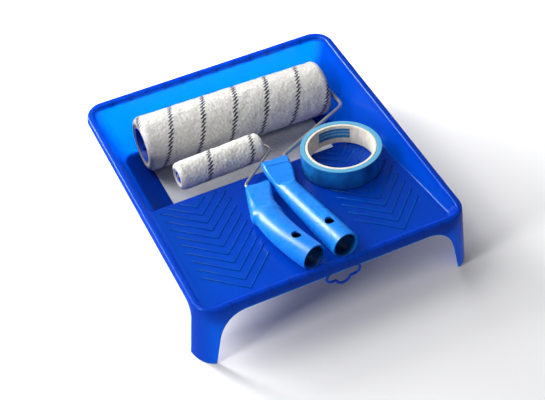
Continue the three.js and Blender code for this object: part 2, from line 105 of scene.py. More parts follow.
# Rollers. "bends" are the wire's corners in x and y, and "anchor" is a point that the axis of the
# grip's socket runs through.
LARGE = {
    "name": "large", "centre": (9.7, 121.0), "axle_z": 37.2, "yaw": -1.2, "slope": 0.1477,
    "length": 237.5, "pile": 34.0, "pile_edge": 7.0, "pile_grid": (220, 200), "seed": 3.0,
    "core": 23.5, "core_wall": 1.6, "rib_half": 0.6, "wire": 2.4, "bend_at": 123.2,
    "bend_radius": 9.0, "bends": [(132.5, 70), (27, 17.5), (8.6, -46)],
    "socket": 70.0, "hole_at": 31.0, "anchor": (8.2, -66),
    "thread": {"pitch": 41.0, "sway": 5.5, "phase": 31.1, "stitches": 44},
}
MINI = {
    "name": "mini", "centre": (-40.6, 46.6), "axle_z": 48.0, "yaw": 1.85, "slope": 0.1448,
    "length": 107.6, "pile": 17.5, "pile_edge": 5.5, "pile_grid": (120, 120), "seed": 8.0,
    "core": 8.8, "core_wall": 1.1, "rib_half": 0.5, "wire": 1.7, "bend_at": 58.0,
    "bend_radius": 5.0, "bends": [(20.8, 36.8), (-33, -9), (-33.4, -62)],
    "socket": 55.0, "hole_at": 29.0, "anchor": (-31.5, -104),
    "thread": {"pitch": 53.6, "sway": -4.8, "phase": 49.4, "stitches": 24},
}
PILE_EDGE_STEPS = 8
BEND_STEPS = 12
WIRE_SIDES = 24
PILE_SINK = 0.7  # how far the pile's middle lies inside its outer radius
RIB_COUNT = 6
PLUG_WALL = 1.6
PLUG_RECESS = 1.0  # how far a plug lies inside the sleeve's end
PLUG_DISH = 0.35  # depth of its dish, as a part of the core's radius
WIRE_END = 4.2  # the wire's end stands this far out of the dish
HUB_WALL = 2.0

# Grip stations: [x, y, half width, half height, half height of the flat faces].
GRIPS = {
    "large": [
        (17.2, -157.5, 15.6, 15.6, 20), (16.2, -147, 15.6, 15.5, 20),
        (14.6, -130, 15.5, 15.0, 20), (13.0, -115, 15.2, 14.3, 20),
        (11.5, -100, 14.8, 13.4, 20), (9.8, -83, 14.3, 12.7, 20),
        (8.2, -66, 13.8, 12.0, 20), (7.2, -54, 13.3, 11.4, 14),
        (6.6, -46, 13.0, 11.0, 11.5), (6.3, -42.5, 12.9, 10.8, 10.6),
        (6.2, -39, 12.8, 10.6, 8.6), (6.3, -35.5, 12.8, 10.4, 6.2),
        (6.8, -32, 13.0, 10.2, 5.3), (7.6, -26, 13.6, 10.0, 5.2),
        (9.3, -17, 15.2, 10.0, 5.2), (10.8, -8, 16.4, 10.0, 5.2),
        (11.8, 0.2, 17.0, 10.0, 5.2), (11.9, 1.2, 17.0, 10.0, 5.9),
        (13.2, 8, 17.0, 10.0, 4.9), (13.8, 12, 16.9, 10.0, 4.3),
    ],
    "mini": [
        (-19.8, -156.5, 15.2, 15.2, 20), (-22.2, -148, 15.6, 15.2, 20),
        (-24.3, -140, 15.8, 15.0, 20), (-28.4, -122, 16.1, 14.4, 20),
        (-31.5, -104, 16.3, 13.6, 20), (-33.4, -85, 16.3, 12.8, 20),
        (-33.7, -78, 16.0, 12.5, 16), (-33.7, -74, 16.6, 12.3, 13),
        (-33.7, -69, 18.3, 12.0, 12.2), (-33.4, -65, 17.8, 11.6, 10.8),
        (-32.6, -59, 16.4, 11.2, 9.6), (-31.4, -51, 15.4, 11.0, 8.6),
        (-29.6, -44, 14.9, 11.0, 7.8), (-27.2, -36, 14.8, 11.0, 6.8),
        (-24.4, -28, 14.9, 11.0, 5.9), (-22.6, -22, 14.9, 11.0, 5.2),
        (-21.9, -19, 14.7, 11.0, 4.8),
    ],
}
GRIP_STEP = 1.6  # spacing of the rings along a grip
GRIP_SIDES = 96
GRIP_EDGE = 0.9  # radius of the head's rear edge
PANEL = {"from": -114.0, "to": -68.0, "run": 1.2, "middle": 1.2, "half_width": 4.2, "depth": 0.55}
PANEL_EDGE = 0.5
MOUTH_WALL = 2.4  # the grip's wall at the socket's mouth
BOSS_RADIUS = 4.0
BOSS_LENGTH = 8.0
HANG_HOLE = 5.0
# Shade painted inside the grips' sockets: it darkens the colour and fades the reflections there.
SOCKET_SHADE_DEPTH = 6.0  # the socket is fully dark from this deep
SOCKET_SHADE_END = 36.0

TAPE = {"x": 84.6, "y": -19.6, "outer": 47.0, "core": 41.0, "bore": 38.0, "width": 25.0}
TAPE_LIFT = 1.1
TAPE_STEPS = 144
LABEL = {"from": 48, "sweep": 58, "bottom": 8, "height": 13, "radii": (37.7, 37.35)}
LABEL_GRID = (40, 8)
LEAFLET = {"x": -101.0, "y": 34.0, "width": 210.0, "depth": 99.0, "thickness": 0.35}
LEAFLET_GRID = (84, 40)
LEAFLET_LIFT = 0.48  # height of its top over the floor where the large roller presses on it
LEAFLET_SLACK = 0.57  # and how much higher it lies elsewhere
PRESSED_FROM, PRESSED_TO = 86, 98

FLOOR_HALF = 4.0  # metres
FLOOR_DROP = 0.0006
AIM = (0, 0, 0.03)
# Area lights, in metres and watts: [name, place, aim, size, power, mirrored in glossy pieces].
LIGHTS = [
    ("key", (-0.65, 0.8, 1.6), AIM, (1.1, 1.1), 21, True),
    ("side", (-1.6, -0.35, 0.7), AIM, (0.4, 0.7), 18, True),
    ("edge", (-0.75, 1.1, 0.62), (0, 0, 0.05), (0.35, 0.9), 26, True),
    ("back", (0.05, 0.62, 0.08), (0, 0.16, 0.045), (0.9, 0.14), 12, False),
    ("front", (0.7, -1.5, 1.2), AIM, (1.2, 1.2), 0.8, True),
]
WORLD_STRENGTH = 0.2
CAMERA_PLACE = (-0.4327, -0.9705, 1.1471)
CAMERA_RIGHT = (0.9015, -0.432, -0.0238)
CAMERA_DOWN = (-0.3304, -0.6518, -0.6826)
CAMERA_FORWARD = (0.2794, 0.6233, -0.7304)
CAMERA_LENS = 88.3
CAMERA_SENSOR = 36


# ---- Small helpers ----
def smooth_step(low, high, value):
    t = np.clip((value - low) / (high - low), 0.0, 1.0)
    return t * t * (3 - 2 * t)


def smooth_max(a, b, reach):
    """The larger of a and b, rounded over where they are within reach of each other."""
    near = np.maximum(reach - np.abs(a - b), 0.0)
    return np.maximum(a, b) + near * near / (4 * reach)


def bend(a, b, c, t):
    """A place on the curve from a to c that leans towards b."""
    return (1 - t) ** 2 * a + 2 * t * (1 - t) * b + t * t * c


def circle(count):
    """Cosines and sines of evenly spaced angles."""
    angles = [2 * math.pi * i / count for i in range(count)]
    return [(math.cos(a), math.sin(a)) for a in angles]


def headings(path):
    """The direction of a path at each of its points."""
    ends = zip([path[0], *path], [*path[1:], path[-1]])
    return [(after - before).normalized() for before, after in ends]


def corner(before, here, after, radius, steps):
    """Points of the curve that rounds off a corner of a path."""
    back, ahead = before - here, after - here
    trim = min(radius, 0.45 * back.length, 0.45 * ahead.length)
    start, end = here + back.normalized() * trim, here + ahead.normalized() * trim
    return [bend(start, here, end, k / steps) for k in range(steps + 1)]


def make_object(name, vertices, faces, smooth=True):
    """A mesh object from points in millimetres in the tray's frame."""
    points = np.array(vertices, float).reshape(-1, 3)
    points[:, 1] += SHIFT_Y
    mesh = bpy.data.meshes.new(name)
    mesh.from_pydata((points * MM).tolist(), [], [tuple(int(i) for i in f) for f in faces])
    mesh.validate()
    mesh.update()
    mesh.polygons.foreach_set("use_smooth", [smooth] * len(mesh.polygons))
    obj = bpy.data.objects.new(name, mesh)
    scene.collection.objects.link(obj)
    return obj


def add_modifier(obj, kind, **values):
    modifier = obj.modifiers.new(kind.title(), kind)
    for key, value in values.items():
        setattr(modifier, key, value)


def apply_modifiers(obj):
    """Bakes an object's modifiers into its mesh."""
    graph = bpy.context.evaluated_depsgraph_get()
    mesh = bpy.data.meshes.new_from_object(obj.evaluated_get(graph))
    obj.modifiers.clear()
    obj.data = mesh


def shade_by_angle(obj, degrees):
    """Smooth shading, with edges sharper than the angle left crisp."""
    mesh = obj.data
    mesh.polygons.foreach_set("use_smooth", [True] * len(mesh.polygons))
    mesh.set_sharp_from_angle(angle=math.radians(degrees))


def fit_out(obj, body, slot, material, *nodes):
    """Gives a piece its material and body, and hides the CAD nodes it stands for; the slot is not
    used.
    """
    obj.data.materials.clear()
    obj.data.materials.append(material)
    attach(obj, body)
    if nodes:
        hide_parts(*nodes)


def store(obj, **attributes):
    """Stores numbers for each point of a mesh, for its material to read."""
    for name, values in attributes.items():
        attribute = obj.data.attributes.new(name, "FLOAT", "POINT")
        attribute.data.foreach_set("value", values)


def gather(parts):
    """Points and faces of several bodies as one."""
    points, faces = [], []
    for more_points, more_faces in parts:
        faces += [tuple(v + len(points) for v in face) for face in more_faces]
        points += more_points
    return points, faces


def sweep(rings):
    """Points and faces of a body through rings of equal point count."""
    count = len(rings[0])
    points = [p for ring in rings for p in ring]
    faces = []
    for r in range(len(rings) - 1):
        for i in range(count):
            j = (i + 1) % count
            a, b = r * count + i, r * count + j
            faces.append((a, b, b + count, a + count))
    faces.append(tuple(reversed(range(count))))
    last = (len(rings) - 1) * count
    faces.append(tuple(range(last, last + count)))
    return points, faces


def turned_faces(steps, count):
    """Faces of a closed outline of count points that is turned all the way round."""
    faces = []
    for a in range(0, steps * count, count):
        b = (a + count) % (steps * count)
        for i in range(count):
            j = (i + 1) % count
            faces.append((a + i, b + i, b + j, a + j))
    return faces


def grid_faces(nx, ny):
    """Faces over a grid of nx by ny points."""
    corners = [i * ny + j for i in range(nx - 1) for j in range(ny - 1)]
    return [(a, a + ny, a + ny + 1, a + 1) for a in corners]


def grid_border(nx, ny):
    """The points of a grid's border, in order round it."""
    border = [i * ny for i in range(nx)] + [(nx - 1) * ny + j for j in range(1, ny)]
    return border + [i * ny + ny - 1 for i in range(nx - 2, -1, -1)] + [*range(ny - 2, 0, -1)]


def bridge(above, below):
    """Faces between two closed rows of points."""
    pairs = list(zip(above, below))
    return [(b, a, c, d) for (a, c), (b, d) in zip(pairs, pairs[1:] + pairs[:1])]


def lathe(profile, place, steps):
    """A body turned about its own X axis from a closed [radius, along] profile."""
    points = [
        place @ Vector((along, radius * c, radius * s))
        for c, s in circle(steps) for radius, along in profile
    ]
    return points, turned_faces(steps, len(profile))


def rounded(corners, radius, steps):
    """A closed 2-D outline with its corners rounded off."""
    spots = [Vector(c) for c in corners]
    out = []
    for before, here, after in zip(spots[-1:] + spots, spots, spots[1:] + spots[:1]):
        out += [tuple(p) for p in corner(before, here, after, radius, steps)]
    return out


def axle_place(roller):
    """The frame of a roller's sleeve: X runs along the axle from the sleeve's middle."""
    x, y = roller["centre"]
    turn = Matrix.Rotation(math.radians(roller["yaw"]), 4, "Z")
    return Matrix.Translation((x, y, roller["axle_z"])) @ turn


def frame_z(roller, y):
    """Height of the plane of a roller's wire and handle."""
    return roller["axle_z"] + roller["slope"] * (roller["centre"][1] - y)


# ---- Materials ----
class Nodes:
    """A material's node tree, with short calls for the nodes used here."""

    def __init__(self, name):
        self.material = bpy.data.materials.new(name)
        self.material.use_nodes = True
        self.tree = self.material.node_tree
        self.shader = self.tree.nodes["Principled BSDF"]
        self.place = self.node("ShaderNodeTexCoord", "Object", {})

    def feed(self, socket, value):
        """Links a socket to another node's output, or gives it a value of its own."""
        if isinstance(value, bpy.types.NodeSocket):
            self.tree.links.new(value, socket)
        else:
            socket.default_value = value

    def node(self, kind, output, inputs, **values):
        """An output of a new node, after its inputs are fed and its own values set."""
        node = self.tree.nodes.new(kind)
        for key, value in values.items():
            setattr(node, key, value)
        for key, value in inputs.items():
            self.feed(node.inputs[key], value)
        return node.outputs[output]

    def set(self, **values):
        """Feeds inputs of the material's shader."""
        for key, value in values.items():
            self.feed(self.shader.inputs[key.replace("_", " ")], value)

    def scaled(self, scale):
        return self.node("ShaderNodeMapping", "Vector", {"Vector": self.place, "Scale": scale})

    def noise(self, scale, detail, vector=None, roughness=0.5):
        inputs = {"Scale": scale, "Detail": detail, "Roughness": roughness}
        inputs["Vector"] = vector or self.place
        return self.node("ShaderNodeTexNoise", "Fac", inputs)

    def ramp(self, value, stops):
        """A colour for each value, or a grey where the stops are single numbers."""
        out = self.node("ShaderNodeValToRGB", "Color", {"Fac": value})
        elements = out.node.color_ramp.elements
        while len(elements) < len(stops):
            elements.new(0.5)
        for element, (position, colour) in zip(elements, stops):
            element.position = position
            element.color = (*np.broadcast_to(colour, 3).tolist(), 1)
        return out

    def math(self, operation, first, *others):
        """The first value after the operation with each of the others in turn."""
        for other in others or [0.0]:
            first = self.node("ShaderNodeMath", "Value", {0: first, 1: other}, operation=operation)
        return first

    def product(self, *values):
        return self.math("MULTIPLY", *values)

    def centred(self, value, spread):
        """A value from 0 to 1, moved to lie evenly about 0 and spread out."""
        return self.product(self.math("SUBTRACT", value, 0.5), spread)

    def within(self, value, middle, reach):
        """1 where a value lies within reach of the middle, and 0 elsewhere."""
        away = self.math("ABSOLUTE", self.math("SUBTRACT", value, middle))
        return self.math("LESS_THAN", away, reach)

    def mix(self, factor, a, b):
        """A colour between two others; 6, 7 and 2 are the mix node's colour sockets."""
        return self.node("ShaderNodeMix", 2, {0: factor, 6: a, 7: b}, data_type="RGBA")

    def axes(self):
        inputs = {"Vector": self.place}
        return [self.node("ShaderNodeSeparateXYZ", axis, inputs) for axis in "XYZ"]

    def attribute(self, name):
        return self.node("ShaderNodeAttribute", "Fac", {}, attribute_name=name)

    def line(self, value, scale):
        """A vector that only changes with one value, for noise in fine parallel lines."""
        return self.node("ShaderNodeCombineXYZ", "Vector", {"X": self.product(value, scale)})

    def bump(self, height, strength, distance):
        inputs = {"Height": height, "Strength": strength, "Distance": distance}
        self.set(Normal=self.node("ShaderNodeBump", "Normal", inputs))


def moulded_plastic(name, dark, light, roughness, scatter):
    """Glossy moulded plastic that lets a little light through, with shade painted dark inside
    sockets.
    """
    n = Nodes(name)
    # Painted shade: the colour darkens and the reflections fade with the depth inside a socket.
    shaded = n.product(n.attribute("socket_depth"), 0.93)
    deep = (*(0.2 * v for v in dark), 1)
    n.set(Base_Color=n.mix(shaded, n.ramp(n.noise(14, 4), [(0.3, dark), (0.7, light)]), deep))
    wear = [(0.35, roughness * 0.8), (0.7, roughness * 1.35)]
    n.set(Roughness=n.ramp(n.noise(90, 5), wear))
    n.set(Specular_IOR_Level=n.product(n.math("SUBTRACT", 1.0, shaded), 0.5))
    n.set(Subsurface_Weight=scatter, Subsurface_Scale=0.003, Subsurface_Radius=(0.1, 0.6, 1.6))
    n.bump(n.noise(900, 2), 0.04, 0.0001)
    return n.material


def tray_plastic(name, dark, light):
    """The tray's plastic, with shade painted in dark ticks on the rim over the webs under it."""
    n = Nodes(name)
    base = n.ramp(n.noise(9, 4), [(0.3, dark), (0.7, light)])
    x, y, z = n.axes()
    half_pitch = WEB_PITCH / 2 * MM
    across = n.math("PINGPONG", n.math("ADD", x, 101 * half_pitch), half_pitch)
    near = n.math("LESS_THAN", across, 0.0010)
    far = n.math("SUBTRACT", 1.0, n.within(y, SHIFT_Y * MM, 0.1655))
    high = n.math("GREATER_THAN", z, 0.068)
    # Painted shade: dark ticks where the webs under the rim shade the plastic.
    web_painted_shade = n.product(near, far, high, n.within(x, 0.0, 0.128), 0.6)
    n.set(Base_Color=n.mix(web_painted_shade, base, (0.002, 0.02, 0.2, 1)))
    n.set(Roughness=n.ramp(n.noise(70, 5), [(0.35, 0.21), (0.7, 0.24)]))
    n.set(Subsurface_Weight=0.8, Subsurface_Scale=0.012, Subsurface_Radius=(0.02, 1.0, 1.6))
    n.set(Specular_IOR_Level=0.4, Specular_Tint=(0.25, 0.55, 1.0, 1.0))
    n.bump(n.noise(900, 2), 0.03, 0.0001)
    return n.material


def pile_fabric(name, thread):
    """Off-white woven pile with dark slanted stitches wound round it in a long helix."""
    n = Nodes(name)
    wind, along = n.attribute("wind"), n.attribute("along")
    pitch = thread["pitch"]
    sway = n.math("COSINE", n.product(n.math("SUBTRACT", wind, 0.628), 2 * math.pi))
    slant = n.centred(n.math("FRACT", n.product(wind, thread["stitches"])), 4.4)
    wobble = n.centred(n.noise(110, 2), 5.0)
    start = thread["phase"] + 100 * pitch
    turn = n.product(wind, pitch)
    place = n.math("ADD", along, turn, n.product(sway, thread["sway"]), slant, wobble, start)
    fuzz = n.centred(n.noise(1100, 2), 1.8)
    distance = n.math("ADD", n.math("PINGPONG", place, pitch / 2), fuzz)
    dark = n.ramp(n.math("DIVIDE", distance, 3.6), [(0.38, 0.97), (0.62, 0.0)])
    white = n.ramp(n.noise(240, 5, roughness=0.6), [
        (0.25, (0.48, 0.48, 0.47)), (0.5, (0.61, 0.60, 0.57)), (0.75, (0.70, 0.69, 0.65)),
    ])
    n.set(Base_Color=n.mix(dark, white, (0.008, 0.014, 0.05, 1)))
    n.set(Roughness=1.0, Sheen_Weight=0.15, Sheen_Roughness=0.6, Specular_IOR_Level=0.1)
    n.bump(n.noise(520, 6, roughness=0.7), 0.55, 0.0012)
    return n.material


def steel():
    n = Nodes("wire_steel")
    brushed = n.noise(60, 4, n.scaled((1, 1, 14)))
    n.set(Base_Color=n.ramp(brushed, [(0.3, (0.46, 0.44, 0.40)), (0.7, (0.62, 0.60, 0.55))]))
    n.set(Metallic=0.8, Roughness=n.ramp(n.noise(130, 4), [(0.3, 0.30), (0.7, 0.42)]))
    n.bump(n.noise(500, 2), 0.02, 0.0001)
    return n.material


def cardboard():
    n = Nodes("tape_cardboard")
    fibre = n.noise(240, 6, n.scaled((1, 1, 0.4)))
    n.set(Base_Color=n.ramp(fibre, [(0.3, (0.56, 0.52, 0.43)), (0.7, (0.72, 0.68, 0.59))]))
    n.set(Roughness=0.85)
    n.bump(fibre, 0.2, 0.0004)
    return n.material


def tape_paper():
    """Crepe paper tape: fine turns show on its flat ends, and fine wrinkles round its outside."""
    n = Nodes("tape_paper")
    radius = n.attribute("radius")
    end = n.attribute("flat_end")
    turns = n.noise(2.2, 4, n.line(radius, 9.0))
    pale = n.ramp(turns, [
        (0.3, (0.05, 0.24, 0.42)), (0.6, (0.11, 0.37, 0.55)), (0.8, (0.24, 0.50, 0.64)),
    ])
    blotches = n.noise(55, 5, n.scaled((1, 1, 0.5)))
    side = n.ramp(blotches, [(0.32, (0.002, 0.06, 0.24)), (0.68, (0.008, 0.19, 0.54))])
    n.set(Base_Color=n.mix(end, side, pale))
    n.set(Roughness=n.ramp(n.noise(160, 3), [(0.3, 0.3), (0.7, 0.45)]))
    n.bump(n.noise(900, 4, n.scaled((1, 1, 0.2))), 0.25, 0.0003)
    return n.material


def leaflet_paper():
    """Thin grey paper with faint rows of short bars, in columns, where print would be."""
    n = Nodes("leaflet_paper")
    x, y, _ = n.axes()
    row = n.math("LESS_THAN", n.math("PINGPONG", n.math("ADD", y, 1.0), 0.0017), 0.0007)
    words = n.math("GREATER_THAN", n.noise(1.0, 1, n.scaled((330, 290, 1))), 0.47)
    column = n.math("GREATER_THAN", n.math("PINGPONG", n.math("ADD", x, 1.012), 0.026), 0.0035)
    text = n.product(row, words, column, n.math("GREATER_THAN", x, -0.030), 0.4)
    paper = n.ramp(n.noise(60, 4), [(0.3, (0.48, 0.49, 0.52)), (0.7, (0.58, 0.59, 0.62))])
    printed = n.mix(text, paper, (0.2, 0.2, 0.22, 1))
    n.set(Base_Color=printed, Roughness=0.6)
    n.bump(n.noise(25, 3), 0.3, 0.001)
    return n.material


def label_paper():
    """A blue label with plain pale bars where print would be."""
    n = Nodes("label_paper")
    height = n.attribute("height")
    words = n.math("GREATER_THAN", n.noise(3.0, 2, n.line(n.attribute("around"), 14)), 0.45)
    low = n.product(n.within(height, 0.38, 0.10), words)
    marks = n.math("MAXIMUM", n.within(height, 0.72, 0.05), low)
    blue = n.ramp(n.noise(90, 3), [(0.3, (0.004, 0.10, 0.30)), (0.7, (0.008, 0.15, 0.38))])
    n.set(Base_Color=n.mix(n.product(marks, 0.5), blue, (0.30, 0.55, 0.70, 1)), Roughness=0.5)
    return n.material


# ---- Tray ----
def floor_profile():
    """Heights of the ramp, the drop and the well's floor against y, as dense points."""
    foot = EDGE_Y + DROP_RUN
    top = (EDGE_Y - 4.5, EDGE_Y + 0.2, EDGE_Y + 1.4), (EDGE_Z + SLOPE * 4.5, EDGE_Z, EDGE_Z - 4.5)
    bottom = (foot - 2.3, foot + 0.2, foot + 9), (FLOOR_Z + 10, FLOOR_Z, FLOOR_Z)
    points = [(-2 * RIM_Y, EDGE_Z + SLOPE * (EDGE_Y + 2 * RIM_Y))]
    for ys, zs in (top, bottom):
        points += [(bend(*ys, k / 12), bend(*zs, k / 12)) for k in range(13)]
    points.append((2 * RIM_Y, FLOOR_Z))
    return np.array(points)


def rim_rings():
    """The tray's rings from the rim inwards: [side inset, rear inset, corner radius, height]."""
    rings = []
    for k in range(RIM_STEPS + 1):
        angle = math.radians(90 * k / RIM_STEPS)
        inset = RIM_EDGE * (1 - math.cos(angle))
        rings.append([inset, inset, RIM_Z - RIM_EDGE + RIM_EDGE * math.sin(angle)])
    rings.append([RIM_FLAT, RIM_FLAT, RIM_Z])
    for k in range(RIM_STEPS + 1):
        angle = math.radians(RIM_TURN_ANGLE * k / RIM_STEPS)
        inset = RIM_TURN + RIM_INNER_EDGE * math.sin(angle)
        height = RIM_Z - RIM_INNER_EDGE + RIM_INNER_EDGE * math.cos(angle)
        rings.append([inset, inset, height])
    while height > WALL_FOOT:
        height -= WALL_STEP
        down = RIM_Z - height
        rings.append([FLANGE + SIDE_DRAFT * down, FLANGE + REAR_DRAFT * down, height])
    rounder = RIM_RADIUS - WALL_RADIUS
    rings = [
        [side, rear, WALL_RADIUS + rounder * max(0.0, 1 - side / FLANGE), z]
        for side, rear, z in rings
    ]
    side, rear, radius, height = rings[-1]
    while radius > 0:
        radius = max(0.0, radius - 2.5)
        side, rear, height = side + 2.0, rear + 2.0, height - 4.0
        rings.append([side, rear, radius, height])
    return rings


def spread(start, end, step):
    count = max(1, round((end - start) / step))
    return list(np.linspace(start, end, count + 1))


def grid_lines(side, rear):
    """The sheet's lines in x and in y: the rings' insets at both ends, and even lines between."""
    inner_x = RIM_X - side[-1]
    xs = spread(-inner_x, inner_x, COARSE)[1:-1]
    ys = spread(-RIM_Y + side[-1], FINE_FROM, COARSE)[1:-1] + spread(FINE_FROM, FINE_TO, FINE)
    ys += spread(FINE_TO, RIM_Y - rear[-1], COARSE)[1:-1]
    line_x = np.concatenate([-(RIM_X - side), xs, (RIM_X - side)[::-1]])
    line_y = np.concatenate([-(RIM_Y - side), ys, (RIM_Y - rear)[::-1]])
    return line_x, line_y


def on_corner(x, y, half_x, end_y, radius):
    """Moves a point of a ring onto the ring's rounded corner, if it lies in it."""
    gap_x, gap_y = half_x - abs(x), abs(end_y) - abs(y)
    if max(gap_x, gap_y) >= radius:
        return x, y
    turn = max(gap_x, gap_y) / radius
    angle = math.pi / 4 * (1 - turn if gap_y > gap_x else 1 + turn)
    cx, cy = math.copysign(half_x - radius, x), math.copysign(abs(end_y) - radius, y)
    along_x, along_y = radius * math.cos(angle), radius * math.sin(angle)
    return cx + math.copysign(along_x, x), cy + math.copysign(along_y, y)


def tray_sheet():
    """The tray's upper surface as one open sheet, on lines that follow the rim."""
    rings = rim_rings()
    last = len(rings) - 1
    side, rear, radius, height = (np.array([r[k] for r in rings]) for k in range(4))
    line_x, line_y = grid_lines(side, rear)
    nx, ny = len(line_x), len(line_y)
    profile = floor_profile()
    edge_rings = 2 * RIM_STEPS + 3
    ix = np.minimum(np.arange(nx), np.arange(nx)[::-1])
    iy = np.minimum(np.arange(ny), np.arange(ny)[::-1])
    grid = np.zeros((nx, ny, 3))
    for i in range(nx):
        for j in range(ny):
            k = min(ix[i], iy[j], last)
            x, y = line_x[i], line_y[j]
            if k < last:
                end_y = (RIM_Y - rear[k]) if y > 0 else -(RIM_Y - side[k])
                x, y = on_corner(x, y, RIM_X - side[k], end_y, radius[k])
            base = np.interp(y, profile[:, 0], profile[:, 1])
            z = height[k] if k < edge_rings else float(smooth_max(base, height[k], FILLET))
            grid[i, j] = (x, y, z)
    return grid


def leg_bottom(x, y):
    """Height of the hanging edge's lower side at a point of the rim: the legs reach the floor."""
    ax = abs(x)
    steps = np.linspace(0, 1, 40)
    leg, corner, skirt = LEG_INNER
    if y < FRONT_DEPTH - RIM_Y and ax < LEG_EDGE_X:
        if ax < skirt:
            return SKIRT_Z
        if ax > leg:
            return LEG_FOOT_TOP * (LEG_EDGE_X - ax) / (LEG_EDGE_X - leg)
        arch = bend(LEG_FOOT_TOP, SKIRT_Z, SKIRT_Z, steps)
        return float(np.interp(-ax, -bend(leg, corner, skirt, steps), arch))
    if y < LEG_REAR[0]:
        return 0.0
    if y > LEG_REAR[2]:
        return LIP_Z
    arch = bend(LEG_REAR_TOP, LIP_Z, LIP_Z, steps)
    return float(np.interp(y, bend(*LEG_REAR, steps), arch))


def hanging_edge(loop_points):
    """Rows of points below the rim, which lean outwards towards the legs' feet."""
    out = []
    top = RIM_Z - RIM_EDGE
    for k in range(1, HANGING_ROWS + 1):
        ring = []
        for x, y, _ in loop_points:
            z = top + (leg_bottom(x, y) - top) * (k / HANGING_ROWS)
            down = 1 - z / RIM_Z
            reach_x = np.clip(x / (RIM_X - RIM_RADIUS), -1, 1)
            reach_y = np.clip((-y - (RIM_Y - RIM_RADIUS)) / RIM_RADIUS, 0, 1)
            ring.append((x + LEG_SPREAD * down * reach_x, y - LEG_FORWARD * down * reach_y, z))
        out.append(ring)
    return out


def chevron_rings(x, apex, place):
    """Rings along one raised chevron: [lean, distance from the apex, width, height] at each."""
    reach = min(CHEVRON_REACH, EDGE_Y - 6 - apex)
    near = reach - CHEVRON_END
    spots = [(-1, reach, 1.0, 0.35), (-1, near, 1.0, 1.0), (0, 0, CHEVRON_MITRE, 1.0),
             (1, near, 1.0, 1.0), (1, reach, 1.0, 0.35)]
    rings = []
    for lean, away, wide, high in spots:
        across = Vector((-0.707 * lean, 0.707 if lean else 1.0, 0)).normalized() * wide
        rings.append([
            place @ (Vector((x + lean * away, apex + away, h * high if h > 0 else h)) + across * s)
            for s, h in CHEVRON_SECTION
        ])
    return rings


def chevron_ridges():
    """The ramp's raised chevrons, as rounded ridges sunk a little into it."""
    place = Matrix.Translation((0, EDGE_Y, EDGE_Z)) @ Matrix.Rotation(RAMP_TILT, 4, "X")
    place = place @ Matrix.Translation((0, -EDGE_Y, 0))
    return gather(
        sweep(chevron_rings(x, CHEVRON_FIRST_Y + i * CHEVRON_PITCH, place))
        for x in (-CHEVRON_X, CHEVRON_X) for i in range(CHEVRON_COUNT)
    )


def tray_shell():
    """Points and faces of the tray's outer skin: the sheet, and the edge that hangs from it."""
    grid = tray_sheet()
    nx, ny, _ = grid.shape
    points = [tuple(p) for p in grid.reshape(-1, 3)]
    faces = grid_faces(nx, ny)
    above = grid_border(nx, ny)
    for ring in hanging_edge([points[v] for v in above]):
        below = list(range(len(points), len(points) + len(ring)))
        points += ring
        faces += bridge(above, below)
        above = below
    return points, faces


def build_tray(material, highlit_ridge_material):
    shell = make_object("tray_shell", *tray_shell())
    thickness = WALL * MM * 0.95
    add_modifier(shell, "SOLIDIFY", thickness=thickness, offset=-1.0, use_even_offset=True)
    apply_modifiers(shell)
    shade_by_angle(shell, 50)
    fit_out(shell, "tray", "tray_plastic", material, "tray")
    ridges = make_object("tray_chevrons", *chevron_ridges())
    shade_by_angle(ridges, 120)
    fit_out(ridges, "tray", "tray_plastic", highlit_ridge_material)
    build_hanging_loop(material)
    build_webs(material)


def build_hanging_loop(material):
    """The cloud-shaped loop under the front edge, as one bent strand."""
    half_width, half_depth = LOOP_STRAND
    path = []
    for x, z, radius, start, end in LOOP_LOBES:
        for k in range(15):
            angle = math.radians(start + (end - start) * k / 14)
            away = (radius * math.cos(angle), radius * math.sin(angle))
            path.append(Vector((x + away[0], -RIM_Y + 0.3, z + away[1])))
    rings = []
    for point, along in zip(path, headings(path)):
        side = along.cross(Vector((0, 1, 0))) * half_width
        rings.append([point + side * c + Vector((0, half_depth * s, 0)) for c, s in circle(14)])
    loop = make_object("tray_hanging_loop", *sweep(rings))
    shade_by_angle(loop, 60)
    fit_out(loop, "tray", "tray_plastic", material)


def build_webs(material):
    """The small webs under the rim, front and rear."""
    bodies = []
    for side in (-1, 1):
        y0, y1 = side * (RIM_Y - 2), side * (RIM_Y - 7)
        outline = [(y0, 73.5), (y0, 70.5), (y1, 68.5), (y1, 73.5)]
        for i in range(WEB_COUNT):
            x = (i - (WEB_COUNT - 1) / 2) * WEB_PITCH
            bodies.append(sweep([
                [(x + dx, y, z) for y, z in outline] for dx in (-WEB_HALF, WEB_HALF)
            ]))
    webs = make_object("tray_webs", *gather(bodies), smooth=False)
    fit_out(webs, "tray", "tray_plastic", material)


# ---- Rollers ----
def pile_profile(roller):
    """The pile's outline: [radius, along], with both of its ends rounded."""
    end, radius = roller["length"] / 2, roller["pile"]
    edge, inner = roller["pile_edge"], roller["core"] + 0.3

    def rounded_end(side):
        for k in range(PILE_EDGE_STEPS + 1):
            angle = math.pi / 2 * k / PILE_EDGE_STEPS
            along = side * (end - edge * (1 - math.cos(angle)))
            yield radius - edge * (1 - math.sin(angle)), along

    straight = np.linspace(-end + edge, end - edge, roller["pile_grid"][0])[1:-1]
    profile = [(inner, -end + 0.8), *rounded_end(-1)]
    profile += [(radius, along) for along in straight]
    profile += [*reversed([*rounded_end(1)]), (inner, end - 0.8)]
    return profile


def tufted(spot, outward, seed):
    """A place on the pile pushed in or out by its tufts."""
    tufts = noise.noise(spot * 0.42 + Vector((seed, 0, 0)))
    lumps = noise.noise(spot * 0.09 + Vector((0, seed, 0)))
    fine = noise.noise(spot * 1.1)
    push = 0.45 * tufts + 0.55 * lumps + 0.28 * fine - PILE_SINK
    return spot + push * outward


